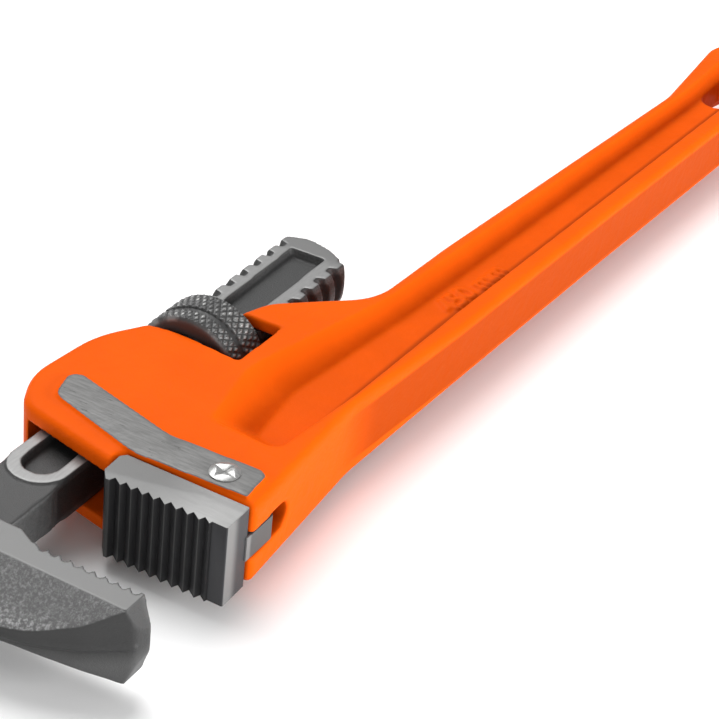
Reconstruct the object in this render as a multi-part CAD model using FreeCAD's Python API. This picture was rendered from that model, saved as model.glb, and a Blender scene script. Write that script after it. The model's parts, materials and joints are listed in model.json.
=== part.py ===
import FreeCAD, Part
import math
import os

from FreeCAD import Vector

# Heavy-duty straight pipe wrench, 450 mm class, lying on its side.
#
# Working frame while modelling, in millimetres: +X runs from the jaws to the handle's end,
# +Y from the open side of the jaws to the hook jaw's shank, +Z is up, and Z = 0 is the
# middle plane of the wrench.  X = 0 is the heel jaw's tooth crests and Y = 0 its near end.
# The hook jaw's shank, the nut and the cavity they run in share a second frame, which is
# turned by SHANK_TILT about Z and starts on the shank's axis at X = 0.

# ---------------------------------------------------------------- driving dimensions
JAW_THICK = 22.0          # thickness of the heel jaw and of the casting's head
HANDLE_THICK = 18.0       # thickness of the I-section handle
WEB_THICK = 7.0           # web left between the two long recesses
RIM_ROUND = 2.0           # rounding of the casting's outer edges
RIB_HEIGHT = 1.0          # raised ground rib on each cheek of the head
HANDLE_END = 366.0        # X of the handle's far end

JAW_GAP = 26.5            # opening between the tooth crests as modelled
TOOTH_PITCH = 3.0
TOOTH_DEPTH = 1.6
TOOTH_COUNT = 9
HEEL_LAST_CREST = 30.9    # Y of the crest that is farthest from the open side
HOOK_LAST_CREST = 30.1
HEEL_LENGTH = 34.4        # heel jaw along Y
HEEL_DEPTH = 10.4         # heel jaw's block along X
HEEL_LAND = 1.1           # how far the plain end of the heel jaw stands behind the crests
TONGUE_THICK = 6.6
TONGUE_REACH = 21.0       # X of the tongue's back
SLOT_BACK = 28.0          # X of the back of the slot that takes the tongue

SHANK_TILT = 1.5          # degrees between the shank and the heel jaw's square
SHANK_AXIS_Y = 50.5       # shank axis where it crosses X = 0
SHANK_THICK = 12.0
SHANK_HALF_WIDTH = 8.1    # plain part of the shank
PAD_SHIFT = 0.45          # how far the pads and pockets sit off the thread's axis
POCKET_FLOOR = 3.4        # half the thickness left between the two pockets
SHANK_END = 133.8
MAJOR_R = 12.0            # thread crest radius
ROOT_R = 10.1             # thread root radius
THREAD_PITCH = 7.0
THREAD_START = 29.6
THREAD_TURNS = 14
RIDGE_CREST = 3.4         # width of the thread's ridge at its crest
RIDGE_ROOT = 4.8          # and at its root
RIDGE_SLOPE = (RIDGE_ROOT - RIDGE_CREST) / (MAJOR_R - ROOT_R) / 2
THREAD_CLEAR = 0.35       # clearance between the two threads, all round
GROOVE_SWEEP = 70         # degrees that a shank's groove runs each way from its edge's middle

NUT_R = 15.2
NUT_START = 62.7
NUT_LENGTH = 14.4
NUT_CHAMFER = 1.2
NUT_GROOVE_AT = 68.4      # middle of the plain groove between the two knurled bands
NUT_GROOVE_WIDTH = 2.4
NUT_GROOVE_DEPTH = 0.6

WINDOW_START = 61.8       # window for the nut, along the shank
WINDOW_END = 81.0
WINDOW_FLOOR = -16.9      # window's floor, across the shank
CAVITY_HALF_HEIGHT = 6.6  # cavity for the shank, above and below the middle plane
CAVITY_FAR = 12.8
CAVITY_NEAR = -15.1

HEEL_PIN_AT = (16.9, 11.2)
HEEL_PIN_R = 3.0
PIN_HEAD_R = 3.7
SPRING_PIN_R = 1.25
SPRING_PIN_AT = (56.0, -14.6)   # in the shank's frame; the hook jaw rocks about it
EYE_R = 2.2               # outside of the flat spring's rolled eye
LEAF_THICK = 0.9
LEAF_WIDTH = 8.0
LEAF_FRONT = 18.0
COIL_AT_X = 36.0
COIL_R = 3.2              # mean radius
COIL_WIRE_R = 0.5
COIL_TURNS = 5
COIL_POCKET_R = 4.3
COIL_POCKET_DEPTH = 8.6   # below the cavity's near wall

HANG_HOLE_AT = (323.0, 1.6)
HANG_HOLE_LENGTH = 26.0
HANG_HOLE_WIDTH = 11.0

FIT = 0.02                # radial gap of a driven pin
RUNNING_FIT = 0.06        # radial gap where a piece turns on or moves round a pin
FAR = 400.0               # longer than anything in the wrench

HALF = JAW_THICK / 2
WEB = WEB_THICK / 2
CHEEK = HALF + RIB_HEIGHT


# ---------------------------------------------------------------- shape helpers
def outline(corners, z):
    """Closed wire at height z through corners (x, y, r), each rounded with radius r."""
    points = [Vector(x, y, z) for x, y, r in corners]
    rounds = []
    for i, corner in enumerate(points):
        to_last = (points[i - 1] - corner).normalize()
        to_next = (points[(i + 1) % len(points)] - corner).normalize()
        radius = corners[i][2]
        half_angle = to_last.getAngle(to_next) / 2
        if radius <= 0:
            rounds.append((corner, None, corner))
            continue
        along = radius / math.tan(half_angle)
        inward = (to_last + to_next).normalize()
        middle = corner + inward * (radius / math.sin(half_angle) - radius)
        rounds.append((corner + to_last * along, middle, corner + to_next * along))
    edges = []
    for i, (start, middle, end) in enumerate(rounds):
        if middle is not None:
            edges.append(Part.Arc(start, middle, end).toShape())
        following = rounds[(i + 1) % len(rounds)][0]
        if (following - end).Length > 1e-6:
            edges.append(Part.LineSegment(end, following).toShape())
    return Part.Wire(edges)


def plate(corners, low, high):
    """Solid plate between heights low and high with a rounded-corner outline."""
    return Part.Face(outline(corners, low)).extrude(Vector(0, 0, high - low))


def tapered(rim, floor, rim_z, floor_z, top_z):
    """Solid with flat drafted walls through a floor outline and a rim outline, up to top_z."""
    grow = (top_z - rim_z) / (rim_z - floor_z)
    top = [(a[0] + (a[0] - b[0]) * grow, a[1] + (a[1] - b[1]) * grow, a[2])
           for a, b in zip(rim, floor)]
    return Part.makeLoft([outline(floor, floor_z), outline(top, top_z)], True, True)


def box(low, high):
    """Solid box from its lowest corner to its highest corner."""
    size = [b - a for a, b in zip(low, high)]
    return Part.makeBox(size[0], size[1], size[2], Vector(*low))


def upright(radius, x, y, low, high):
    """Solid cylinder standing along Z."""
    return Part.makeCylinder(radius, high - low, Vector(x, y, low))


def side_view(points):
    """Solid with the closed outline of (x, z) points, running the full width along Y."""
    wire = Part.makePolygon([Vector(x, -FAR / 2, z) for x, z in points + points[:1]])
    return Part.Face(wire).extrude(Vector(0, FAR, 0))


def mirrored_below(points):
    """The (x, z) points given for the top, closed with the same points below Z = 0."""
    return points + [(x, -z) for x, z in reversed(points)]


def both_cheeks(shape):
    """The shape joined with its mirror image in the middle plane."""
    return [shape, shape.mirror(Vector(0, 0, 0), Vector(0, 0, 1))]


def from_shank_frame(shape):
    """Moves a shape made along +X about the origin onto the shank's tilted axis."""
    moved = shape.copy()
    moved.rotate(Vector(0, 0, 0), Vector(0, 0, 1), SHANK_TILT)
    moved.translate(Vector(0, SHANK_AXIS_Y, 0))
    return moved


def helical(profile, first_turn, from_angle, to_angle):
    """Right-handed helical sweep about +X of a closed (radius, offset) profile.

    Angles are in degrees and grow from -Z through +Y; the profile is centred on
    X = first_turn where the angle is 0.
    """
    rise = THREAD_PITCH / 360
    helix = Part.makeHelix(THREAD_PITCH, (to_angle - from_angle) * rise, profile[0][0])
    section = Part.makePolygon([Vector(r, 0, s) for r, s in profile + profile[:1]])
    sweep = Part.Wire(helix).makePipeShell([section], True, True)
    sweep.rotate(Vector(0, 0, 0), Vector(0, 1, 0), 90)
    sweep.rotate(Vector(0, 0, 0), Vector(1, 0, 0), from_angle)
    sweep.translate(Vector(first_turn + from_angle * rise, 0, 0))
    return sweep


def teeth(plane_x, first_y, towards, lean):
    """Cutters for the gaps between tooth crests; lean places each root along the pitch."""
    cutters = []
    for i in range(TOOTH_COUNT):
        crest = first_y - i * TOOTH_PITCH
        gap = [(plane_x - towards, crest, 0), (plane_x, crest, 0),
               (plane_x + towards * TOOTH_DEPTH, crest - lean * TOOTH_PITCH, 0),
               (plane_x, crest - TOOTH_PITCH, 0), (plane_x - towards, crest - TOOTH_PITCH, 0)]
        cutters.append(plate(gap, -HALF - 1, HALF + 1))
    return cutters


# ---------------------------------------------------------------- handle and housing
CASTING_PLAN = [
    (10.8, -0.9, 1.5), (62, 2.6, 50), (112, -1.0, 150), (200, -5.4, 400), (296, -10.8, 50),
    (345, -20.5, 16), (HANDLE_END, -17.5, 15), (HANDLE_END, 12.5, 15), (347, 17.4, 16),
    (296, 13.7, 50), (150, 24.0, 200), (112.8, 25.5, 22), (90.8, 45.7, 12),
    (76, 49.6, 0), (72, 57.0, 0), (48, 70.5, 28), (24.5, 71.9, 20), (13.0, 65.6, 9),
    (6.2, 35.0, 0.8), (10.8, 35.0, 0),
]
RECESS_RIM = [
    (35.0, 8.0, 4), (64, 5.2, 60), (118, 4.2, 200), (302, -5.0, 30), (334, -9.5, 12),
    (353, -8.5, 6), (353, 6.0, 6), (334, 10.2, 12), (302, 10.2, 30), (120, 21.8, 60),
    (60, 28.9, 18), (36.6, 24.4, 3),
]
RECESS_FLOOR = [
    (41.0, 10.0, 3), (64, 7.2, 60), (118, 6.0, 200), (302, -3.2, 30), (333, -6.6, 10),
    (347, -6.0, 4), (347, 3.6, 4), (333, 6.4, 10), (302, 6.6, 30), (120, 16.8, 60),
    (66, 22.0, 18), (44.0, 19.0, 3),
]
RIB_PLAN = [
    (12.3, 2.4, 0), (21.6, 3.2, 0.6), (22.9, 5.2, 0.6), (21.9, 30.0, 12),
    (29.9, 60.0, 3), (28.9, 63.4, 2.5), (19.4, 60.6, 5), (10.9, 32.0, 12),
]


def round_rims(body):
    """Rounds the casting's outer edges, above and below."""
    rims = []
    for edge in body.Edges:
        ends = [vertex.Point for vertex in edge.Vertexes]
        level = all(abs(point.z) > HANDLE_THICK / 2 - 0.01 for point in ends)
        crossing = abs(ends[0].x - ends[-1].x) < 0.01 and ends[0].x > 60 and ends[0].x < 120
        if level and not crossing:
            rims.append(edge)
    return body.makeFillet(RIM_ROUND, rims)


def handle_casting():
    """One casting: head with the shank's cavity and nut window, and the I-section handle."""
    body = plate(CASTING_PLAN, -HALF, HALF)
    handle_half = HANDLE_THICK / 2
    body = body.common(side_view(mirrored_below(
        [(0, HALF), (64, HALF), (112, handle_half), (FAR, handle_half)])))
    body = round_rims(body)
    body = body.fuse(both_cheeks(plate(RIB_PLAN, HALF - 1, CHEEK)))
    cuts = both_cheeks(tapered(RECESS_RIM, RECESS_FLOOR, handle_half, WEB, HALF + 2))
    cuts.append(from_shank_frame(plate(
        [(WINDOW_START - 2.2, WINDOW_FLOOR, 1), (WINDOW_END, WINDOW_FLOOR, 1),
         (WINDOW_END, FAR / 2, 0), (WINDOW_START - 5.8, FAR / 2, 0),
         (WINDOW_START - 5.8, 20, 0), (WINDOW_START - 1.2, 10, 8), (WINDOW_START, 2, 25)],
        -FAR / 2, FAR / 2)))
    cuts.append(from_shank_frame(box((-5, CAVITY_NEAR, -CAVITY_HALF_HEIGHT),
                                     (WINDOW_START + 1, CAVITY_FAR, CAVITY_HALF_HEIGHT))))
    cuts.append(from_shank_frame(box((WINDOW_END - 1, -MAJOR_R - 0.8, -CAVITY_HALF_HEIGHT),
                                     (SHANK_END, FAR / 2, CAVITY_HALF_HEIGHT))))
    cuts.append(from_shank_frame(box((WINDOW_END - 1, WINDOW_FLOOR + 1.4, -CAVITY_HALF_HEIGHT),
                                     (WINDOW_END + 2.4, FAR / 2, CAVITY_HALF_HEIGHT))))
    slot_half = TONGUE_THICK / 2 + 0.4
    cuts.append(box((0, -5, -slot_half), (SLOT_BACK - slot_half, 33.2, slot_half)))
    cuts.append(Part.makeCylinder(slot_half, 38.2, Vector(SLOT_BACK - slot_half, -5, 0),
                                  Vector(0, 1, 0)))
    cuts.append(upright(HEEL_PIN_R + FIT, *HEEL_PIN_AT, -FAR / 2, FAR / 2))
    eye_x, eye_y = SPRING_PIN_AT
    cuts.append(from_shank_frame(upright(EYE_R + 0.5, eye_x, eye_y,
                                         -LEAF_WIDTH / 2 - 0.4, LEAF_WIDTH / 2 + 0.4)))
    cuts.append(from_shank_frame(upright(SPRING_PIN_R + FIT, eye_x, eye_y, -HALF - 1, 6.5)))
    near_wall = SHANK_AXIS_Y + CAVITY_NEAR + COIL_AT_X * math.tan(math.radians(SHANK_TILT))
    cuts.append(Part.makeCylinder(COIL_POCKET_R, COIL_POCKET_DEPTH + 1,
                                  Vector(COIL_AT_X, near_wall - COIL_POCKET_DEPTH, 0),
                                  Vector(0, 1, 0)))
    hole_x, hole_y = HANG_HOLE_AT
    half_run = (HANG_HOLE_LENGTH - HANG_HOLE_WIDTH) / 2
    half_wide = HANG_HOLE_WIDTH / 2
    cuts.append(plate([(hole_x - half_run - half_wide, hole_y - half_wide, half_wide - 0.01),
                       (hole_x + half_run + half_wide, hole_y - half_wide, half_wide - 0.01),
                       (hole_x + half_run + half_wide, hole_y + half_wide, half_wide - 0.01),
                       (hole_x - half_run - half_wide, hole_y + half_wide, half_wide - 0.01)],
                      -FAR / 2, FAR / 2))
    return body.cut(cuts)


# ---------------------------------------------------------------- heel jaw and its pin
def heel_jaw():
    """Fixed jaw: a toothed block with a tongue that the pin holds in the casting's slot."""
    block = plate([(0, 4.4, 0), (HEEL_LAND, 4.1, 0), (HEEL_LAND, 0, 0.5), (HEEL_DEPTH, 0.2, 0.5),
                   (HEEL_DEPTH, HEEL_LENGTH - 1.2, 0), (9.0, HEEL_LENGTH, 0),
                   (2.6, HEEL_LENGTH - 0.4, 0), (0, HEEL_LENGTH - 2.6, 0)], -HALF, HALF)
    block = block.cut(teeth(0, HEEL_LAST_CREST, 1, 0.22))
    half = TONGUE_THICK / 2
    tongue = plate([(HEEL_DEPTH - 1, -0.3, 0), (TONGUE_REACH, -0.3, 1.2),
                    (TONGUE_REACH, 32.2, 2), (HEEL_DEPTH - 1, 32.2, 0)], -half, half)
    pin_hole = upright(HEEL_PIN_R + RUNNING_FIT, *HEEL_PIN_AT, -HALF, HALF)
    return block.fuse(tongue).cut(pin_hole).removeSplitter()


def heel_pin():
    """Pin through both cheeks and the tongue, with a low staked head on each side."""
    x, y = HEEL_PIN_AT
    head = Part.makeCone(PIN_HEAD_R, PIN_HEAD_R - 1.0, 0.8, Vector(x, y, CHEEK))
    return upright(HEEL_PIN_R, x, y, -CHEEK, CHEEK).fuse(both_cheeks(head)).removeSplitter()


# ---------------------------------------------------------------- hook jaw
HOOK_PLAN = [
    (-JAW_GAP, 2.6, 0), (-JAW_GAP - 0.8, -0.6, 0.8), (-32.0, 0.4, 3), (-38.8, 9.0, 15),
    (-43.6, 19.5, 30), (-47.2, 38.0, 25), (-43.5, 63.5, 17), (-12.0, 58.8, 20),
    (-5.0, 58.8, 0), (-5.0, 42.4, 0), (-23.8, 42.2, 1), (-24.4, 35.4, 2.5),
    (-JAW_GAP, 31.4, 1),
]
NECK_HALF = SHANK_THICK / 2 - 0.6    # half thickness of the neck in front of the shank's pads
HOOK_SIDE = [(-60, 2.0), (-44.0, 2.2), (-33.2, 10.0), (-24.3, 10.0), (-22.6, NECK_HALF),
             (FAR, NECK_HALF)]
HOOK_NOSE = [(-0.6, 2.4), (2.2, 10.0), (FAR / 2, 10.0)]


def shank():
    """Flat bar with threaded edges and a long pocket in each side, in the shank's frame."""
    half = SHANK_THICK / 2
    flat = box((-FAR / 2, -FAR / 2, -half), (FAR / 2, FAR / 2, half))
    wide = SHANK_HALF_WIDTH
    plain = plate([(-5.9, -wide, wide - 0.1), (THREAD_START + 1, -wide, 0),
                   (THREAD_START + 1, wide, 0), (-5.9, wide, wide - 0.1)], -half, half)
    neck = box((-12.0, -wide, -NECK_HALF), (THREAD_START, wide, NECK_HALF))
    plain = plain.fuse(neck)
    plain.translate(Vector(0, PAD_SHIFT, 0))
    threaded = Part.makeCylinder(MAJOR_R, SHANK_END - THREAD_START, Vector(THREAD_START, 0, 0),
                                 Vector(1, 0, 0)).common(flat)
    end = plate([(THREAD_START - 1, -13, 0), (126.0, -12.4, 4), (131.8, -3.4, 12),
                 (SHANK_END, 4.2, 5), (131.2, 10.8, 2.5), (THREAD_START - 1, 13, 0)],
                -half, half)
    bar = plain.fuse(threaded.common(end))
    outside = MAJOR_R + 1.2
    root_half = (THREAD_PITCH - RIDGE_ROOT) / 2
    rim_half = root_half + RIDGE_SLOPE * (outside - ROOT_R)
    groove = [(ROOT_R, -root_half), (outside, -rim_half),
              (outside, rim_half), (ROOT_R, root_half)]
    grooves = []
    for turn in range(THREAD_TURNS):
        for edge_angle in (90, 270):
            middle = 360 * turn + edge_angle
            grooves.append(helical(groove, THREAD_START + THREAD_PITCH / 2,
                                   middle - GROOVE_SWEEP, middle + GROOVE_SWEEP))
    bar = bar.cut(grooves)
    rim = [(-2.3, -4.8, 4.7), (126.2, -5.4, 0.8), (126.2, 5.4, 0.8), (-2.3, 4.8, 4.7)]
    floor = [(-1.8, -4.3, 4.2), (125.5, -4.9, 0.6), (125.5, 4.9, 0.6), (-1.8, 4.3, 4.2)]
    pockets = both_cheeks(tapered(rim, floor, half, POCKET_FLOOR, half + 1))
    for pocket in pockets:
        pocket.translate(Vector(0, PAD_SHIFT, 0))
    return bar.cut(pockets)


def hook_jaw():
    """Moving jaw: toothed hook and threaded shank in one forging."""
    head = plate(HOOK_PLAN, -HALF, HALF)
    head = head.common(side_view(mirrored_below(HOOK_SIDE)))
    nose = [Vector(-FAR / 2, y, z) for y, z in mirrored_below(HOOK_NOSE)]
    nose.append(nose[0])
    head = head.common(Part.Face(Part.makePolygon(nose)).extrude(Vector(FAR, 0, 0)))
    head = head.cut(teeth(-JAW_GAP, HOOK_LAST_CREST, -1, 0.72))
    return head.fuse(from_shank_frame(shank())).removeSplitter()


# ---------------------------------------------------------------- adjusting nut
def adjusting_nut():
    """Round nut with a running thread for the shank, in the shank's frame."""
    axis = Vector(1, 0, 0)
    body = Part.makeCylinder(NUT_R, NUT_LENGTH, Vector(NUT_START, 0, 0), axis)
    rims = [edge for edge in body.Edges if isinstance(edge.Curve, Part.Circle)]
    body = body.makeChamfer(NUT_CHAMFER, rims)
    middle = NUT_GROOVE_AT - NUT_GROOVE_WIDTH / 2
    ring = Part.makeCylinder(NUT_R + 1, NUT_GROOVE_WIDTH, Vector(middle, 0, 0), axis)
    ring = ring.cut(Part.makeCylinder(NUT_R - NUT_GROOVE_DEPTH, NUT_GROOVE_WIDTH,
                                      Vector(middle, 0, 0), axis))
    bore = Part.makeCylinder(ROOT_R + THREAD_CLEAR, NUT_LENGTH + 2,
                             Vector(NUT_START - 1, 0, 0), axis)
    inner = ROOT_R - 0.4
    outer = MAJOR_R + THREAD_CLEAR
    inner_half = RIDGE_ROOT / 2 + THREAD_CLEAR + RIDGE_SLOPE * (ROOT_R - inner)
    outer_half = RIDGE_CREST / 2 + THREAD_CLEAR
    ridge_way = [(inner, -inner_half), (outer, -outer_half),
                 (outer, outer_half), (inner, inner_half)]
    turns_before = math.floor((NUT_START - THREAD_START) / THREAD_PITCH) - 1
    turns = math.ceil(NUT_LENGTH / THREAD_PITCH) + 2
    body = body.cut(helical(ridge_way, THREAD_START + turns_before * THREAD_PITCH, 0, 360 * turns))
    return from_shank_frame(body.cut(bore).cut(ring))


# ---------------------------------------------------------------- springs and their pin
def flat_spring():
    """Leaf between the shank and the cavity's near wall, rolled into an eye round its pin."""
    x, y = SPRING_PIN_AT
    half = LEAF_WIDTH / 2
    top = y + EYE_R
    eye = upright(EYE_R, x, y, -half, half)
    leaf = box((LEAF_FRONT, top - LEAF_THICK, -half), (x, top, half))
    leaf = leaf.fuse(eye).cut(upright(SPRING_PIN_R + RUNNING_FIT, x, y, -half, half))
    return from_shank_frame(leaf.removeSplitter())


def spring_pin():
    """Pin that the flat spring's eye turns on, driven in from the underside."""
    return from_shank_frame(upright(SPRING_PIN_R, *SPRING_PIN_AT, -HALF, 6.4))


def coil_spring():
    """Small compression spring in its pocket, behind the flat spring."""
    slope = math.tan(math.radians(SHANK_TILT))
    floor_y = SHANK_AXIS_Y + CAVITY_NEAR + COIL_AT_X * slope - COIL_POCKET_DEPTH
    leaf_back = SPRING_PIN_AT[1] + EYE_R - LEAF_THICK
    top_y = SHANK_AXIS_Y + leaf_back + (COIL_AT_X - COIL_R) * slope
    length = top_y - floor_y - 2 * COIL_WIRE_R - 0.3
    helix = Part.makeHelix(length / COIL_TURNS, length, COIL_R)
    wire = Part.Wire(Part.makeCircle(COIL_WIRE_R, Vector(COIL_R, 0, 0), Vector(0, 1, 0)))
    coil = Part.Wire(helix).makePipeShell([wire], True, True)
    coil.rotate(Vector(0, 0, 0), Vector(1, 0, 0), -90)
    coil.translate(Vector(COIL_AT_X, floor_y + COIL_WIRE_R + 0.05, 0))
    return coil


# ---------------------------------------------------------------- assembly
NODES = {
    "handle": handle_casting,
    "heel_jaw": heel_jaw,
    "heel_jaw_pin": heel_pin,
    "hook_jaw": hook_jaw,
    "adjusting_nut": adjusting_nut,
    "flat_spring": flat_spring,
    "coil_spring": coil_spring,
    "spring_pin": spring_pin,
}

os.makedirs("parts", exist_ok=True)
shapes = {name: make() for name, make in NODES.items()}
whole = Part.makeCompound(list(shapes.values())).optimalBoundingBox(False)
# The row's origin is under the middle of the wrench, at its lowest point.
origin = Vector((whole.XMin + whole.XMax) / 2, (whole.YMin + whole.YMax) / 2, whole.ZMin)
for name, shape in shapes.items():
    shape.translate(-origin)
    shape.exportStep(f"parts/{name}.step")
    print(name, "valid", shape.isValid(), "solids", len(shape.Solids),
          "volume", round(shape.Volume))
print("origin in the working frame", [round(v, 4) for v in origin])
print("size", round(whole.XLength, 2), round(whole.YLength, 2), round(whole.ZLength, 2))
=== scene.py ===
import json
import math

import bmesh
import bpy
from bpy.props import FloatProperty, FloatVectorProperty, IntProperty, PointerProperty
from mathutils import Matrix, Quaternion, Vector


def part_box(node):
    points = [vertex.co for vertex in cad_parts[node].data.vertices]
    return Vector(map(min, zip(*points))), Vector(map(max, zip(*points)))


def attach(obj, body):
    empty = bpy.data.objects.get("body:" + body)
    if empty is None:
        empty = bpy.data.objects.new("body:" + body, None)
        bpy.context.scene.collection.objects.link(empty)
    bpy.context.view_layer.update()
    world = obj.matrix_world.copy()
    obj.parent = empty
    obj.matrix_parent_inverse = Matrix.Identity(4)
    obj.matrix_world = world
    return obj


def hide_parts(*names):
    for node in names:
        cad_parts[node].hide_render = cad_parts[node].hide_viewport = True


bl_info = {
    "name": "Pipe Wrench Workshop",
    "version": (1, 0, 0),
    "blender": (4, 5, 0),
    "location": "View3D > Sidebar > Wrench",
    "description": "Builds the finished surfaces of a straight pipe wrench around its CAD frame",
    "category": "Object",
}

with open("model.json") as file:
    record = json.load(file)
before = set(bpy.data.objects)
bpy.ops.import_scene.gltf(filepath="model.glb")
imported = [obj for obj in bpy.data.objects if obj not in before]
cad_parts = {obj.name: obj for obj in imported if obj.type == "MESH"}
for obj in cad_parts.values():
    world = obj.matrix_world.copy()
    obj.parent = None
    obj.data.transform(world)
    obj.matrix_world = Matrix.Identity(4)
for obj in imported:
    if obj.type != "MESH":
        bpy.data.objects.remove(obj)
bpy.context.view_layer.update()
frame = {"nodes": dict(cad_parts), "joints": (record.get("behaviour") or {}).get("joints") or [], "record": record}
MM = 0.001
HEEL_LENGTH = 34.4 * MM         # of the heel jaw, along Y

# The wrench's own datum: the heel jaw's tooth crests, its near end and the middle plane.
HEEL_LOW, HEEL_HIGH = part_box("heel_jaw")
HANDLE_LOW, HANDLE_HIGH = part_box("handle")
MIDDLE_Z = (HANDLE_LOW.z + HANDLE_HIGH.z) / 2
DATUM = Vector((HEEL_LOW.x, HEEL_HIGH.y - HEEL_LENGTH, MIDDLE_Z))
CHEEK_Z = (HEEL_HIGH.z - HEEL_LOW.z) / 2
RIB_Z = HANDLE_HIGH.z - MIDDLE_Z
NUT_JOINT = next(j for j in frame["joints"] if j["name"] == "nut_spin")
SHANK_DIRECTION = Vector(NUT_JOINT["axis"]).normalized()
SHANK_POINT = Vector(NUT_JOINT["pos_m"])
THREAD_PITCH = math.tau / frame["record"]["behaviour"]["couplings"][0]["ratio"]
THREAD_CREST_R = 10.45 * MM     # of the nut's internal thread
THREAD_ROOT_R = 12.35 * MM
CAD_NUT_CHAMFER = 1.2 * MM
CASTING_TRIANGLES = 190000      # the most that the casting's skin keeps
PIN_SHAFT_R = 3.0 * MM

# Millimetres from the datum, for the finishes.
SHANK_HALF = 6.0                # half thickness of the shank's rails
HOOK_HALF = 10.0                # half thickness of the hook's lands
NEAR_FOOT = ((64, 7.2), (118, 6.0), (302, -3.2))    # foot of each recess's near wall, along which painted shade runs


def spot(x, y, z=0.0):
    """A place given in millimetres from the datum."""
    return DATUM + Vector((x, y, z)) * MM


# ------------------------------------------------------------------ mesh helpers
def new_piece(name, mesh):
    """An object of the given data, linked into the scene."""
    piece = bpy.data.objects.new(name, mesh)
    bpy.context.scene.collection.objects.link(piece)
    return piece


def copy_of_node(node, name):
    """A loose, welded copy of a CAD node's mesh, for a piece that stands for the node."""
    mesh = frame["nodes"][node].data.copy()
    mesh.materials.clear()
    mesh.name = name
    work = bmesh.new()
    work.from_mesh(mesh)
    bmesh.ops.remove_doubles(work, verts=work.verts, dist=0.002 * MM)
    work.to_mesh(mesh)
    work.free()
    return new_piece(name, mesh)


def settle(piece):
    """Turns the piece's modifiers into its mesh."""
    graph = bpy.context.evaluated_depsgraph_get()
    mesh = bpy.data.meshes.new_from_object(piece.evaluated_get(graph))
    piece.modifiers.clear()
    piece.data = mesh
    return piece


def thin_out(piece, most_triangles):
    """Joins small faces on the piece's flatter parts until no more than most_triangles stay."""
    triangles = sum(len(face.vertices) - 2 for face in piece.data.polygons)
    if triangles > most_triangles:
        joining = piece.modifiers.new("Fewer faces", "DECIMATE")
        joining.ratio = most_triangles / triangles
        settle(piece)
    return piece


def remesh(piece, grain):
    """Gives the piece one even skin of small faces."""
    skin = piece.modifiers.new("Skin", "REMESH")
    skin.mode = "VOXEL"
    skin.voxel_size = grain
    return settle(piece)


def soften(piece, rounds, weight_of=None, factor=0.5):
    """Rounds the piece's edges, by a share that weight_of gives for each point."""
    easing = piece.modifiers.new("Soft edges", "SMOOTH")
    easing.iterations = rounds
    easing.factor = factor
    if weight_of is not None:
        group = piece.vertex_groups.new(name="soft")
        for vertex in piece.data.vertices:
            group.add([vertex.index], weight_of((vertex.co - DATUM) / MM), "REPLACE")
        easing.vertex_group = group.name
    settle(piece)
    piece.vertex_groups.clear()
    return piece


def shade_smooth(piece, crease_degrees=None):
    """Shades the piece smooth, except across edges sharper than crease_degrees."""
    piece.data.polygons.foreach_set("use_smooth", [True] * len(piece.data.polygons))
    if crease_degrees is not None:
        piece.data.set_sharp_from_angle(angle=math.radians(crease_degrees))
    return piece


def ring_mesh(name, rows):
    """Closed mesh from rows of points, where each row and the set of rows both join up."""
    mesh = bpy.data.meshes.new(name)
    around = len(rows[0])
    points = [point for row in rows for point in row]
    faces = []
    for i in range(len(rows)):
        following = (i + 1) % len(rows)
        for j in range(around):
            beside = (j + 1) % around
            faces.append((i * around + j, i * around + beside,
                          following * around + beside, following * around + j))
    mesh.from_pydata(points, [], faces)
    mesh.validate()
    return mesh


def face_outwards(mesh):
    """Turns the mesh's faces to the outside."""
    work = bmesh.new()
    work.from_mesh(mesh)
    bmesh.ops.recalc_face_normals(work, faces=work.faces)
    work.to_mesh(mesh)
    work.free()
    return mesh


def ramp(value, low, high):
    """0 below low, 1 above high, and a smooth rise between them."""
    share = min(1.0, max(0.0, (value - low) / (high - low)))
    return share * share * (3 - 2 * share)


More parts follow.
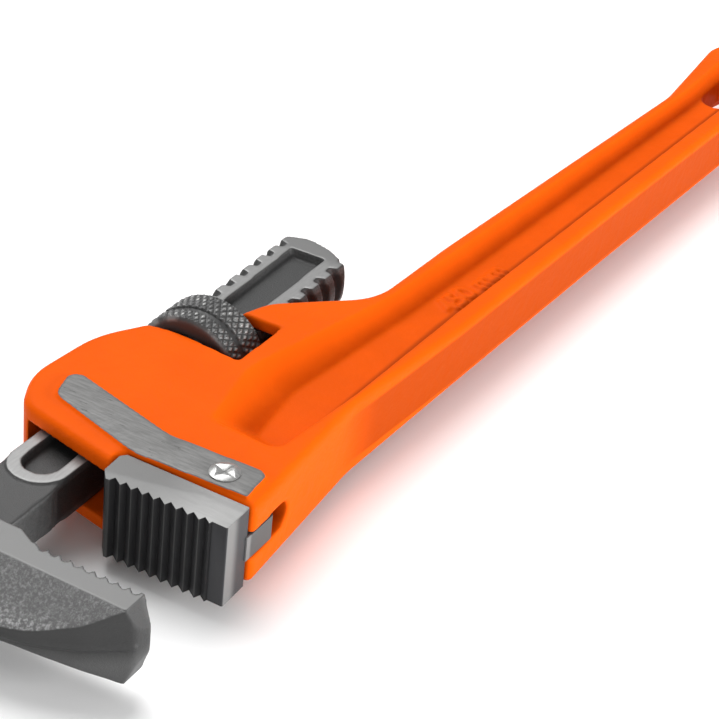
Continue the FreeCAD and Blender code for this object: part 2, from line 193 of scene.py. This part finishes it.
# ------------------------------------------------------------------ material helpers
class Finish:
    """A material under construction, with its texture space in millimetres from the datum."""

    def __init__(self, name):
        self.material = bpy.data.materials.new(name)
        self.material.use_nodes = True
        self.tree = self.material.node_tree
        self.tree.nodes.clear()
        output = self.tree.nodes.new("ShaderNodeOutputMaterial")
        self.surface = self.tree.nodes.new("ShaderNodeBsdfPrincipled")
        self.tree.links.new(self.surface.outputs["BSDF"], output.inputs["Surface"])
        coordinates = self.tree.nodes.new("ShaderNodeTexCoord")
        place = self.node("ShaderNodeMapping", {"Vector": coordinates.outputs["Object"]})
        place.vector_type = "TEXTURE"
        place.inputs["Location"].default_value = DATUM
        place.inputs["Scale"].default_value = (MM, MM, MM)
        self.place = place.outputs["Vector"]

    def node(self, kind, inputs, **settings):
        """A node with the given settings, each input linked to a socket or set to a value."""
        made = self.tree.nodes.new(kind)
        for name, value in settings.items():
            setattr(made, name, value)
        for name, value in inputs.items():
            if isinstance(value, bpy.types.NodeSocket):
                self.tree.links.new(value, made.inputs[name])
            else:
                made.inputs[name].default_value = value
        return made

    def math(self, operation, a, b=0.0, c=0.0):
        """One step of arithmetic on sockets or numbers."""
        return self.node("ShaderNodeMath", {0: a, 1: b, 2: c}, operation=operation).outputs[0]

    def noise(self, scale, detail=3.0, roughness=0.5, stretch=(1, 1, 1), turn=0.0):
        """Soft noise with scale waves to the millimetre, stretched along the turned axes."""
        space = self.node("ShaderNodeMapping", {"Vector": self.place,
                                                "Rotation": (0, 0, math.radians(turn)),
                                                "Scale": stretch})
        return self.node("ShaderNodeTexNoise", {"Vector": space.outputs[0], "Scale": scale,
                                                "Detail": detail, "Roughness": roughness}
                         ).outputs["Fac"]

    def step(self, value, low, high, first=0.0, last=1.0):
        """A smooth change from first to last as value goes from low to high."""
        made = self.node("ShaderNodeMapRange", {"Value": value, "From Min": low,
                                                "From Max": high, "To Min": first,
                                                "To Max": last},
                         interpolation_type="SMOOTHSTEP")
        return made.outputs["Result"]

    def mix(self, share, a, b):
        """A mix of two colours."""
        made = self.node("ShaderNodeMix", {"Factor": share}, data_type="RGBA")
        for socket, value in ((made.inputs[6], a), (made.inputs[7], b)):
            if isinstance(value, bpy.types.NodeSocket):
                self.tree.links.new(value, socket)
            else:
                socket.default_value = (*value, 1.0)
        return made.outputs[2]

    def axis(self, index):
        """Millimetres from the datum along one axis."""
        split = self.node("ShaderNodeSeparateXYZ", {"Vector": self.place})
        return split.outputs[index]

    def height(self):
        """Distance from the middle plane, in millimetres."""
        return self.math("ABSOLUTE", self.axis(2))

    def bump(self, value, depth, normal=None):
        """Relief of value, depth millimetres high."""
        inputs = {"Height": value, "Distance": depth * MM, "Strength": 1.0}
        if normal is not None:
            inputs["Normal"] = normal
        return self.node("ShaderNodeBump", inputs).outputs["Normal"]

    def attribute(self, name):
        """A value stored on the mesh's points."""
        return self.node("ShaderNodeAttribute", {}, attribute_name=name).outputs["Fac"]

    def finish(self, colour, roughness, metallic=0.0, normal=None, shine=0.5):
        """Connects the surface and gives the finished material."""
        inputs = {"Base Color": colour, "Roughness": roughness, "Metallic": metallic}
        for name, value in inputs.items():
            if isinstance(value, bpy.types.NodeSocket):
                self.tree.links.new(value, self.surface.inputs[name])
            elif name == "Base Color":
                self.surface.inputs[name].default_value = (*value, 1.0)
            else:
                self.surface.inputs[name].default_value = value
        if normal is not None:
            self.tree.links.new(normal, self.surface.inputs["Normal"])
        self.surface.inputs["Specular IOR Level"].default_value = shine
        return self.material


# ------------------------------------------------------------------ finishes
def crease_painted_shade(f):
    """Painted shade along the foot of each recess's near wall, where the wall's shadow falls on the floor."""
    x = f.axis(0)
    runs = []
    for (x0, y0), (x1, y1) in zip(NEAR_FOOT, NEAR_FOOT[1:]):
        slope = (y1 - y0) / (x1 - x0)
        runs.append(f.math("MULTIPLY_ADD", x, slope, c=y0 - slope * x0))
    near_foot = f.math("MINIMUM", *runs)
    away = f.math("SUBTRACT", f.axis(1), near_foot)
    low = f.step(f.height(), 7.5, 6.5)
    ends = f.math("MULTIPLY", f.step(x, 52, 75), f.step(x, 345, 325))
    return f.math("MULTIPLY", f.math("MULTIPLY", f.step(away, 3.9, 2.3), low), ends)


def enamelled_iron(settings):
    """Orange enamel over sand-cast iron, with the raised ribs ground back to grey metal."""
    f = Finish("enamelled_iron")
    paint = Vector(settings.paint)
    patches = f.step(f.noise(0.06, 3), 0.35, 0.65)
    colour = f.mix(patches, paint * 0.94, paint)
    # Painted shade: the enamel darkened to 0.55 of its colour along the foot of each recess's near wall.
    colour = f.mix(crease_painted_shade(f), colour, paint * 0.55)
    painted = f.bump(f.noise(1.3, 2), 0.05, f.bump(f.noise(0.22, 2), 0.25))
    bare = f.step(f.height(), CHEEK_Z / MM + 0.75, CHEEK_Z / MM + 0.85)
    grinding = f.noise(1.5, 4, 0.65, stretch=(1.0, 0.12, 1.0), turn=20)
    nicks = f.step(f.noise(0.8, 5, 0.75, stretch=(1.0, 0.2, 1.0), turn=24), 0.60, 0.68)
    steel = f.mix(f.step(grinding, 0.3, 0.7), Vector(settings.ground) * 0.82,
                  Vector(settings.ground) * 1.15)
    steel = f.mix(nicks, steel, Vector(settings.ground) * 0.5)
    normal = f.node("ShaderNodeMix", {"Factor": bare}, data_type="VECTOR")
    f.tree.links.new(painted, normal.inputs[4])
    f.tree.links.new(f.bump(grinding, 0.05), normal.inputs[5])
    return f.finish(f.mix(bare, colour, steel), f.step(bare, 0, 1, 0.45, 0.5),
                    f.step(bare, 0, 1, 0.0, 0.5), normal.outputs[1], shine=0.02)


def forged_steel(settings):
    """Dark forged steel with speckled flanks, and lands and rails ground grey."""
    f = Finish("forged_steel")
    dark = Vector(settings.forged)
    grains = f.noise(1.5, 5, 0.75)
    colour = f.mix(f.step(grains, 0.3, 0.7), dark * 0.55, dark * 1.1)
    facing = f.node("ShaderNodeSeparateXYZ",
                    {"Vector": f.node("ShaderNodeNewGeometry", {}).outputs["Normal"]})
    slope = f.math("ABSOLUTE", facing.outputs[2])
    height = f.height()
    flank = f.math("MULTIPLY", f.step(slope, 0.45, 0.7), f.step(f.axis(0), -32.8, -33.6))
    speckle = f.step(f.noise(1.1, 6, 0.85), 0.44, 0.66)
    lower = f.step(height, 6.5, 2.5)
    bright = f.mix(lower, dark * 4.6, dark * 8.0)
    colour = f.mix(flank, colour, f.mix(speckle, dark * 1.5, bright))
    # Painted shade: the hook's outer walls, which face away from the lights, are darkened, most on the upper half.
    walls_painted_shade = f.math("MULTIPLY", f.step(slope, 0.6, 0.4), f.step(f.axis(0), -27, -29))
    colour = f.mix(walls_painted_shade, colour, f.mix(f.step(f.axis(2), 0, -5), dark * 0.35, dark * 0.95))
    neck = f.math("MULTIPLY", f.step(slope, 0.6, 0.8), f.step(f.axis(0), -22.5, -21.5))
    colour = f.mix(neck, colour, dark * 0.5)
    pocket = f.math("MULTIPLY", f.step(height, 4.6, 3.8), f.step(f.axis(0), -3.2, -2.6))
    colour = f.mix(pocket, colour, dark * 0.32)
    on_shank = f.step(f.axis(0), -21.4, -21.0)
    rails = f.math("MULTIPLY", on_shank, f.step(height, SHANK_HALF - 0.14, SHANK_HALF - 0.05))
    lands = f.math("MULTIPLY", f.step(height, HOOK_HALF - 0.18, HOOK_HALF - 0.07),
                   f.step(f.axis(0), -22.0, -22.5))
    ground = f.math("MAXIMUM", rails, lands)
    streaks = f.noise(2.0, 4, 0.6, stretch=(0.15, 1.0, 1.0))
    steel = f.mix(f.step(streaks, 0.25, 0.75), Vector(settings.ground) * 0.92,
                  Vector(settings.ground) * 1.08)
    steel = f.mix(f.step(f.axis(0), -21.5, -22.5), steel, Vector(settings.ground) * 0.55)
    steel = f.mix(f.step(f.axis(0), 122, 128), steel, Vector(settings.ground) * 0.7)
    rough = f.bump(grains, 0.16, f.bump(f.math("MULTIPLY", speckle, flank), 0.12))
    normal = f.node("ShaderNodeMix", {"Factor": ground}, data_type="VECTOR")
    f.tree.links.new(rough, normal.inputs[4])
    f.tree.links.new(f.bump(streaks, 0.03), normal.inputs[5])
    return f.finish(f.mix(ground, colour, steel), f.step(ground, 0, 1, 0.5, 0.42),
                    f.step(ground, 0, 1, 0.25, 0.5), normal.outputs[1])


def blackened_jaw(settings):
    """Blackened heel jaw with its side faces and near end ground bright."""
    f = Finish("blackened_jaw")
    black = Vector(settings.blackened)
    scratches = f.noise(1.8, 4, 0.7, stretch=(0.6, 0.6, 0.08))
    colour = f.mix(f.step(scratches, 0.4, 0.75), black, black * 1.5)
    # Painted highlight: a lighter line along the tooth crests.
    colour = f.mix(f.step(f.axis(0), 0.32, 0.05, 0.0, 0.8), colour,
                   Vector(settings.ground) * 0.32)
    colour = f.mix(f.step(f.axis(1), 4.1, 3.9), colour, black * 2.6)
    end = f.math("MULTIPLY", f.step(f.axis(1), 0.12, 0.05), f.step(f.axis(0), 1.2, 1.3))
    end_steel = f.mix(f.step(f.axis(0), 10.5, 11.5), Vector(settings.ground) * 0.9,
                      Vector(settings.ground) * 0.4)
    colour = f.mix(end, colour, end_steel)
    ground = f.step(f.height(), CHEEK_Z / MM - 0.10, CHEEK_Z / MM - 0.03)
    sweep = f.noise(0.5, 4, 0.6, stretch=(1.0, 0.15, 1.0))
    # Painted light: the ground faces lighter towards the near end and darker towards the far end.
    steel = f.mix(f.step(f.axis(1), 24.0, 3.0), Vector(settings.ground) * 0.55,
                  Vector(settings.ground) * 1.05)
    steel = f.mix(f.step(sweep, 0.35, 0.7, 0.0, 0.35), steel, Vector(settings.ground) * 0.55)
    normal = f.bump(scratches, 0.03)
    return f.finish(f.mix(ground, colour, steel), f.step(ground, 0, 1, 0.5, 0.4),
                    f.step(ground, 0, 1, 0.2, 0.5), normal, shine=0.3)


def nut_steel(settings):
    """Dark steel, lighter on the knurl's points and on the rims: partly wear, partly painted highlights."""
    f = Finish("nut_steel")
    dark = Vector(settings.nut)
    # Knurl points and rims lighter: wear, with painted highlights gathered in random patches.
    wear_and_glint = f.step(f.attribute("wear_and_glint"), 0.55, 1.0)
    patches = f.step(f.noise(0.22, 3, 0.6), 0.42, 0.62, 0.12, 1.0)
    colour = f.mix(f.math("MULTIPLY", wear_and_glint, patches), dark, Vector(settings.wear_and_glint))
    grains = f.noise(2.2, 4, 0.7)
    return f.finish(colour, 0.42, 0.5, f.bump(grains, 0.06))


def bright_steel():
    """Bright drawn steel with fine scratches."""
    f = Finish("bright_steel")
    scratches = f.noise(3.0, 4, 0.7, stretch=(1.0, 0.2, 1.0), turn=35)
    colour = f.mix(f.step(scratches, 0.3, 0.7), Vector((0.26, 0.26, 0.26)),
                   Vector((0.42, 0.42, 0.41)))
    return f.finish(colour, 0.34, 0.8, f.bump(scratches, 0.02))


def spring_steel():
    """Oiled blue-grey spring steel."""
    f = Finish("spring_steel")
    tint = f.noise(0.6, 3)
    colour = f.mix(f.step(tint, 0.3, 0.7), Vector((0.13, 0.14, 0.17)),
                   Vector((0.24, 0.24, 0.26)))
    return f.finish(colour, 0.35, 0.9, f.bump(f.noise(3.0, 3), 0.02))


# ------------------------------------------------------------------ settings
class WrenchCasting(bpy.types.PropertyGroup):
    """The handle and head, one iron casting."""

    grain: FloatProperty(name="Skin grain", description="Size of the casting's faces",
                         default=0.5 * MM, min=0.4 * MM, max=3 * MM,
                         subtype="DISTANCE", unit="LENGTH", precision=5)
    softness: IntProperty(name="Edge softness", description="Rounds of edge rounding",
                          default=6, min=0, max=30)
    relief: FloatProperty(name="Mark height", description="Height of the raised size mark",
                          default=0.8 * MM, min=0.0, max=2 * MM,
                          subtype="DISTANCE", unit="LENGTH", precision=5)
    paint: FloatVectorProperty(name="Enamel", description="Colour of the enamel",
                               subtype="COLOR", size=3, default=(0.66, 0.083, 0.002),
                               min=0.0, max=1.0)
    ground: FloatVectorProperty(name="Ground rib", description="Colour of the bare ribs",
                                subtype="COLOR", size=3, default=(0.135, 0.134, 0.132),
                                min=0.0, max=1.0)


class WrenchJaws(bpy.types.PropertyGroup):
    """The heel jaw and the hook jaw."""

    grain: FloatProperty(name="Forging grain", description="Size of the hook jaw's faces",
                         default=0.45 * MM, min=0.25 * MM, max=2 * MM,
                         subtype="DISTANCE", unit="LENGTH", precision=5)
    edge: FloatProperty(name="Heel edge", description="Width of the heel jaw's broken edges",
                        default=0.18 * MM, min=0.0, max=1 * MM,
                        subtype="DISTANCE", unit="LENGTH", precision=5)
    forged: FloatVectorProperty(name="Forging", description="Colour of the forged skin",
                                subtype="COLOR", size=3, default=(0.060, 0.060, 0.060),
                                min=0.0, max=1.0)
    ground: FloatVectorProperty(name="Ground steel", description="Colour of the ground faces",
                                subtype="COLOR", size=3, default=(0.175, 0.175, 0.173),
                                min=0.0, max=1.0)
    blackened: FloatVectorProperty(name="Blacking", description="Colour of the heel jaw",
                                   subtype="COLOR", size=3, default=(0.014, 0.014, 0.015),
                                   min=0.0, max=1.0)


class WrenchNut(bpy.types.PropertyGroup):
    """The adjusting nut."""

    knurl_pitch: FloatProperty(name="Knurl pitch", description="Distance between knurl grooves",
                               default=1.75 * MM, min=0.6 * MM, max=4 * MM,
                               subtype="DISTANCE", unit="LENGTH", precision=5)
    knurl_depth: FloatProperty(name="Knurl depth", description="Depth of the knurl grooves",
                               default=0.42 * MM, min=0.0, max=1 * MM,
                               subtype="DISTANCE", unit="LENGTH", precision=5)
    segments: IntProperty(name="Segments", description="Faces around the nut",
                          default=480, min=60, max=900)
    nut: FloatVectorProperty(name="Steel", description="Colour of the nut's valleys",
                             subtype="COLOR", size=3, default=(0.045, 0.045, 0.045),
                             min=0.0, max=1.0)
    # Colour of the lighter knurl points: wear, with painted highlights.
    wear_and_glint: FloatVectorProperty(name="Worn steel", description="Colour of the knurl's points",
                              subtype="COLOR", size=3, default=(0.28, 0.28, 0.275),
                              min=0.0, max=1.0)


class WrenchStage(bpy.types.PropertyGroup):
    """Floor, light and camera."""

    lens: FloatProperty(name="Lens", description="Focal length of the camera",
                        default=94.3, min=10.0, max=300.0, subtype="DISTANCE_CAMERA")
    roll: FloatProperty(name="Roll", description="How far the camera leans to the left",
                        default=math.radians(6.64), subtype="ANGLE", unit="ROTATION")
    floor: FloatVectorProperty(name="Floor", description="Colour of the floor",
                               subtype="COLOR", size=3, default=(0.9, 0.9, 0.9),
                               min=0.0, max=1.0)


# ------------------------------------------------------------------ casting
def size_mark(settings):
    """Raised nominal length in millimetres, to be cast into the upper recess's floor."""
    curve = bpy.data.curves.new("size_mark", "FONT")
    curve.body = "450 mm"
    curve.size = 9.5 * MM
    curve.extrude = settings.relief
    curve.offset = 0.12 * MM
    text = new_piece("size_mark", curve)
    text.location = spot(126.0, 8.0, 3.5)
    text.rotation_euler = (0, 0, math.radians(-4))
    bpy.context.view_layer.update()
    graph = bpy.context.evaluated_depsgraph_get()
    mesh = bpy.data.meshes.new_from_object(text.evaluated_get(graph))
    mesh.transform(text.matrix_world)
    bpy.data.objects.remove(text)
    return mesh


class WRENCH_OT_casting(bpy.types.Operator):
    """Make the orange casting of head and handle"""

    bl_idname = "wrench.casting"
    bl_label = "Casting"

    def execute(self, context):
        settings = context.scene.wrench_casting
        piece = copy_of_node("handle", "painted_casting")
        mark = size_mark(settings)
        work = bmesh.new()
        work.from_mesh(piece.data)
        work.from_mesh(mark)
        work.to_mesh(piece.data)
        work.free()
        remesh(piece, settings.grain)
        rib_foot = CHEEK_Z / MM + 0.25
        soften(piece, settings.softness, lambda place: 0.0 if abs(place.z) > rib_foot else 1.0)
        thin_out(piece, CASTING_TRIANGLES)
        shade_smooth(piece)
        piece.data.materials.append(enamelled_iron(settings))
        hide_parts("handle")
        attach(piece, "housing")
        return {"FINISHED"}


# ------------------------------------------------------------------ jaws
class WRENCH_OT_heel_jaw(bpy.types.Operator):
    """Make the blackened heel jaw with ground side faces"""

    bl_idname = "wrench.heel_jaw"
    bl_label = "Heel jaw"

    def execute(self, context):
        settings = context.scene.wrench_jaws
        piece = copy_of_node("heel_jaw", "toothed_heel_jaw")
        work = bmesh.new()
        work.from_mesh(piece.data)
        bmesh.ops.dissolve_limit(work, angle_limit=math.radians(2), verts=work.verts,
                                 edges=work.edges)
        work.to_mesh(piece.data)
        work.free()
        broken = piece.modifiers.new("Broken edges", "BEVEL")
        broken.width = settings.edge
        broken.segments = 2
        broken.limit_method = "ANGLE"
        broken.angle_limit = math.radians(35)
        settle(piece)
        shade_smooth(piece, 28)
        piece.data.materials.append(blackened_jaw(settings))
        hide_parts("heel_jaw")
        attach(piece, "housing")
        return {"FINISHED"}


def hook_softness(place):
    """Full rounding on the hook's back and nose, and almost none on teeth and shank."""
    back = ramp(-place.x, 33.8, 35.5)
    nose = ramp(-place.y, -2.2, 0.2)
    neck = ramp(-place.x, 7.5, 9.5) * ramp(place.x, -23.5, -22.0)
    return max(0.1, back, nose, neck)


def raise_flash_line(piece, height):
    """Raises the forging's parting line along the hook's outer wall."""
    for vertex in piece.data.vertices:
        place = (vertex.co - DATUM) / MM
        outward = Vector((vertex.normal.x, vertex.normal.y, 0))
        if place.x < -29 and outward.x < -0.3 and abs(place.z) < 0.9:
            vertex.co += outward.normalized() * height * (1 - abs(place.z) / 0.9)


class WRENCH_OT_hook_jaw(bpy.types.Operator):
    """Make the forged hook jaw with its threaded shank"""

    bl_idname = "wrench.hook_jaw"
    bl_label = "Hook jaw"

    def execute(self, context):
        settings = context.scene.wrench_jaws
        piece = copy_of_node("hook_jaw", "forged_hook_jaw")
        remesh(piece, settings.grain)
        soften(piece, 12, hook_softness)
        raise_flash_line(piece, 0.5 * MM)
        shade_smooth(piece)
        piece.data.materials.append(forged_steel(settings))
        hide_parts("hook_jaw")
        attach(piece, "hook")
        return {"FINISHED"}


# ------------------------------------------------------------------ pin
def staked_pin_mesh(radius, head_radius, low, high, centre):
    """Round pin with domed heads, each struck with a four-pointed star."""
    around = 96
    dome = 0.8 * MM
    star = 1.02 * head_radius
    star_turn = math.radians(74)
    rings = 26

    def head_point(share, angle, side):
        """A point of the upper (side 1) or lower (side -1) head, dented by the star."""
        x = head_radius * share * math.cos(angle)
        y = head_radius * share * math.sin(angle)
        rise = dome * (1 - share ** 2.6)
        along = abs(head_radius * share * math.cos(angle - star_turn))
        beside = abs(head_radius * share * math.sin(angle - star_turn))
        spread = (along / star) ** 0.7 + (beside / star) ** 0.7
        dent = 1.1 * MM * max(0.0, 1 - spread) ** 0.85
        base = high if side > 0 else low
        return Vector((centre.x + x, centre.y + y, base + side * (0.25 * MM + rise - dent)))

    rows = []
    angles = [math.tau * j / around for j in range(around)]
    for i in range(1, rings + 1):
        rows.append([head_point(i / rings, a, 1) for a in angles])
    for height in (high, low):
        reach = [head_radius, radius] if height == high else [radius, head_radius]
        for r in reach:
            rows.append([Vector((centre.x + r * math.cos(a), centre.y + r * math.sin(a),
                                 height)) for a in angles])
    for i in range(rings, 0, -1):
        rows.append([head_point(i / rings, a, -1) for a in angles])
    mesh = bpy.data.meshes.new("star_staked_pin")
    points = [point for row in rows for point in row]
    faces = []
    for i in range(len(rows) - 1):
        for j in range(around):
            beside = (j + 1) % around
            faces.append((i * around + j, i * around + beside,
                          (i + 1) * around + beside, (i + 1) * around + j))
    for end, side in ((0, 1), (len(rows) - 1, -1)):
        points.append(head_point(0.0, 0.0, side))
        tip = len(points) - 1
        for j in range(around):
            faces.append((tip, end * around + j, end * around + (j + 1) % around))
    mesh.from_pydata(points, [], faces)
    mesh.validate()
    return face_outwards(mesh)


class WRENCH_OT_heel_pin(bpy.types.Operator):
    """Make the bright pin that holds the heel jaw"""

    bl_idname = "wrench.heel_pin"
    bl_label = "Heel jaw pin"

    def execute(self, context):
        low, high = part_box("heel_jaw_pin")
        centre = (low + high) / 2
        mesh = staked_pin_mesh(PIN_SHAFT_R, (high.x - low.x) / 2, MIDDLE_Z - RIB_Z,
                               MIDDLE_Z + RIB_Z, centre)
        piece = shade_smooth(new_piece("star_staked_pin", mesh), 40)
        piece.data.materials.append(bright_steel())
        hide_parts("heel_jaw_pin")
        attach(piece, "housing")
        return {"FINISHED"}


# ------------------------------------------------------------------ nut
def valley(value):
    """1 midway between knurl grooves and 0 in a groove."""
    return abs(2 * (value - math.floor(value)) - 1)


def nut_rows(settings):
    """Cross-section of the nut as (along, radius, surface) rows, the bore last."""
    bore_mouth = 12.6 * MM
    bore_step = 0.35 * MM
    low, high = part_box("adjusting_nut")
    radius = (high.z - low.z) / 2
    lean = math.hypot(SHANK_DIRECTION.y, SHANK_DIRECTION.z)
    across = 2 * (radius - CAD_NUT_CHAMFER) * lean
    length = ((high.x - low.x) - across) / SHANK_DIRECTION.x
    half = length / 2
    chamfer = 0.8 * MM
    groove_at = -1.5 * MM
    groove_half = 1.1 * MM
    groove_depth = 0.75 * MM
    step = 0.3 * MM
    rim = [(half, radius - chamfer * 1.5), (half - chamfer * 0.35, radius - chamfer * 0.75),
           (half - chamfer * 0.8, radius - chamfer * 0.3)]
    rows = [(-x, r, "rim") for x, r in rim]
    bands = [(-half + chamfer, groove_at - groove_half), (groove_at + groove_half, half - chamfer)]
    for number, (start, end) in enumerate(bands):
        count = round((end - start) / step)
        rows += [(start + i * (end - start) / count, radius, "knurl") for i in range(count + 1)]
        if number == 0:
            rows += [(groove_at + side * (groove_half - 0.25 * MM), radius - groove_depth, "groove")
                     for side in (-1, 0, 1)]
    rows += [(x, r, "rim") for x, r in reversed(rim)]
    rows += [(half, bore_mouth, "face")]
    steps = round(length / bore_step)
    rows += [(half - i * length / steps, 0.0, "bore") for i in range(steps + 1)]
    rows += [(-half, bore_mouth, "face")]
    return rows, radius


def bore_radius(along, turn):
    """Radius of the internal thread, which the shank's thread runs in."""
    phase = (along / THREAD_PITCH - turn) % 1.0
    flank = ramp(abs(phase - 0.5), 0.16, 0.22)
    return THREAD_CREST_R + (THREAD_ROOT_R - THREAD_CREST_R) * (1 - flank)


def thread_phase():
    """Turn at which the CAD nut's thread has its groove, read from its inner vertices."""
    side = SHANK_DIRECTION.cross(Vector((0, 0, 1))).normalized()
    votes = Vector((0.0, 0.0))
    for vertex in frame["nodes"]["adjusting_nut"].data.vertices:
        offset = vertex.co - SHANK_POINT
        along = offset.dot(SHANK_DIRECTION)
        across = offset - SHANK_DIRECTION * along
        if abs(across.length - THREAD_ROOT_R) > 0.03 * MM:
            continue
        turn = math.atan2(across.dot(side), across.z) / math.tau
        angle = math.tau * (along / THREAD_PITCH + turn)
        votes += Vector((math.cos(angle), math.sin(angle)))
    return math.atan2(votes.y, votes.x) / math.tau


def nut_mesh(settings):
    """The nut: each row of its section turned round, with two crossing sets of grooves."""
    rows, radius = nut_rows(settings)
    around = settings.segments
    slant = math.radians(30)
    grooves = round(math.tau * radius * math.cos(slant) / settings.knurl_pitch)
    side = SHANK_DIRECTION.cross(Vector((0, 0, 1))).normalized()
    phase = thread_phase()
    points = []
    wear_and_glint = []
    for along, reach, surface in rows:
        row = []
        for j in range(around):
            turn = j / around
            r = reach
            shine = 0.35
            if surface == "knurl":
                twist = along * math.sin(slant) / settings.knurl_pitch
                point = min(valley(grooves * turn + twist), valley(grooves * turn - twist))
                point = min(1.0, point * 1.5)
                r = reach - settings.knurl_depth * (1 - point)
                shine = point
            elif surface == "bore":
                r = bore_radius(along, phase - turn + 0.5)
                shine = 0.2
            elif surface == "rim":
                shine = 0.8
            angle = math.tau * turn
            across = Vector((0, 0, 1)) * math.cos(angle) + side * math.sin(angle)
            row.append(SHANK_POINT + SHANK_DIRECTION * along + across * r)
            wear_and_glint.append(shine)
        points.append(row)
    mesh = face_outwards(ring_mesh("knurled_nut", points))
    attribute = mesh.attributes.new("wear_and_glint", "FLOAT", "POINT")
    attribute.data.foreach_set("value", wear_and_glint)
    return mesh


class WRENCH_OT_nut(bpy.types.Operator):
    """Make the knurled adjusting nut"""

    bl_idname = "wrench.nut"
    bl_label = "Adjusting nut"

    def execute(self, context):
        settings = context.scene.wrench_nut
        piece = shade_smooth(new_piece("knurled_nut", nut_mesh(settings)), 50)
        piece.data.materials.append(nut_steel(settings))
        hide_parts("adjusting_nut")
        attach(piece, "nut")
        return {"FINISHED"}


# ------------------------------------------------------------------ springs
class WRENCH_OT_springs(bpy.types.Operator):
    """Finish the two springs and the pin inside the head"""

    bl_idname = "wrench.springs"
    bl_label = "Springs and pin"

    def execute(self, context):
        finishes = {"flat_spring": spring_steel(), "spring_pin": bright_steel()}
        finishes["coil_spring"] = finishes["flat_spring"]
        for node, material in finishes.items():
            part = frame["nodes"][node]
            part.data.materials.clear()
            part.data.materials.append(material)
        return {"FINISHED"}


# ------------------------------------------------------------------ stage
# Name, place, the point that it faces, width and power of each light.
LIGHTS = (
    ("overhead", (0.33, 0.6, 1.2), (0, 0, 0), 1.4, 27),
    ("near_side", (0.2, -1.4, 0.2), (0, 0, 0), 0.6, 33),
    ("front", (-1.3, -0.3, 0.35), (-0.15, 0, 0), 0.9, 6),
)
DAYLIGHT = 0.40                 # strength of the even white light from all sides
CAMERA_SPOT = (-280.8, -165.2, 259.8)
TARGET_SPOT = (95.2, 19.4, 0.0)
FLOOR_HALF = 3.0                # metres from the middle to the floor's edge


def soft_light(name, location, target, size, power):
    """A round studio light, size metres wide."""
    lamp = bpy.data.lights.new(name, "AREA")
    lamp.shape = "DISK"
    lamp.size = size
    lamp.energy = power
    holder = new_piece(name, lamp)
    holder.location = location
    holder.rotation_mode = "QUATERNION"
    holder.rotation_quaternion = (Vector(target) - Vector(location)).to_track_quat("-Z", "Y")
    return holder


def floor_finish(colour):
    """Matt pale floor with a barely visible change of tone."""
    f = Finish("pale_floor")
    tone = f.noise(0.004, 2)
    shade = Vector(colour)
    return f.finish(f.mix(f.step(tone, 0.3, 0.7), shade * 0.985, shade), 0.7)


class WRENCH_OT_stage(bpy.types.Operator):
    """Set the pale floor, soft studio light and camera"""

    bl_idname = "wrench.stage"
    bl_label = "Stage"

    def execute(self, context):
        settings = context.scene.wrench_stage
        scene = context.scene
        scene.view_settings.view_transform = "Standard"
        mesh = bpy.data.meshes.new("floor")
        corners = [(x * FLOOR_HALF, y * FLOOR_HALF, 0)
                   for x, y in ((-1, -1), (1, -1), (1, 1), (-1, 1))]
        mesh.from_pydata(corners, [], [(0, 1, 2, 3)])
        floor = new_piece("floor", mesh)
        mesh.materials.append(floor_finish(settings.floor))
        world = bpy.data.worlds.new("studio")
        world.use_nodes = True
        background = world.node_tree.nodes["Background"]
        background.inputs["Color"].default_value = (1.0, 1.0, 1.0, 1.0)
        background.inputs["Strength"].default_value = DAYLIGHT
        scene.world = world
        for light in LIGHTS:
            soft_light(*light)
        lens = bpy.data.cameras.new("camera")
        lens.lens = settings.lens
        lens.sensor_width = 36.0
        camera = new_piece("camera", lens)
        camera.location = spot(*CAMERA_SPOT)
        aim = (spot(*TARGET_SPOT) - camera.location).to_track_quat("-Z", "Y")
        camera.rotation_mode = "QUATERNION"
        camera.rotation_quaternion = aim @ Quaternion((0, 0, 1), settings.roll)
        scene.camera = camera
        return {"FINISHED"}


# ------------------------------------------------------------------ panel and registration
class WRENCH_PT_workshop(bpy.types.Panel):
    """Lists the wrench's settings and the steps that build it"""

    bl_idname = "WRENCH_PT_workshop"
    bl_label = "Pipe Wrench"
    bl_space_type = "VIEW_3D"
    bl_region_type = "UI"
    bl_category = "Wrench"

    def draw(self, context):
        for group_name, operators in STEPS:
            box = self.layout.box()
            group = getattr(context.scene, group_name, None)
            if group is not None:
                for name in group.__annotations__:
                    box.prop(group, name)
            for operator in operators:
                box.operator(operator.bl_idname)


STEPS = (
    ("wrench_stage", (WRENCH_OT_stage,)),
    ("wrench_casting", (WRENCH_OT_casting,)),
    ("wrench_jaws", (WRENCH_OT_heel_jaw, WRENCH_OT_hook_jaw)),
    ("wrench_nut", (WRENCH_OT_nut,)),
    ("", (WRENCH_OT_heel_pin, WRENCH_OT_springs)),
)
SETTINGS = {
    "wrench_stage": WrenchStage,
    "wrench_casting": WrenchCasting,
    "wrench_jaws": WrenchJaws,
    "wrench_nut": WrenchNut,
}
CLASSES = (*SETTINGS.values(), *(op for _, ops in STEPS for op in ops), WRENCH_PT_workshop)


def register():
    """Adds the settings, steps and panel to Blender."""
    for cls in CLASSES:
        bpy.utils.register_class(cls)
    for name, cls in SETTINGS.items():
        setattr(bpy.types.Scene, name, PointerProperty(type=cls))


def unregister():
    """Takes them away again."""
    for name in SETTINGS:
        delattr(bpy.types.Scene, name)
    for cls in reversed(CLASSES):
        bpy.utils.unregister_class(cls)


def main():
    """Builds the whole wrench."""
    register()
    bpy.ops.wrench.stage()
    bpy.ops.wrench.casting()
    bpy.ops.wrench.heel_jaw()
    bpy.ops.wrench.hook_jaw()
    bpy.ops.wrench.nut()
    bpy.ops.wrench.heel_pin()
    bpy.ops.wrench.springs()


if __name__ == "__main__":
    main()
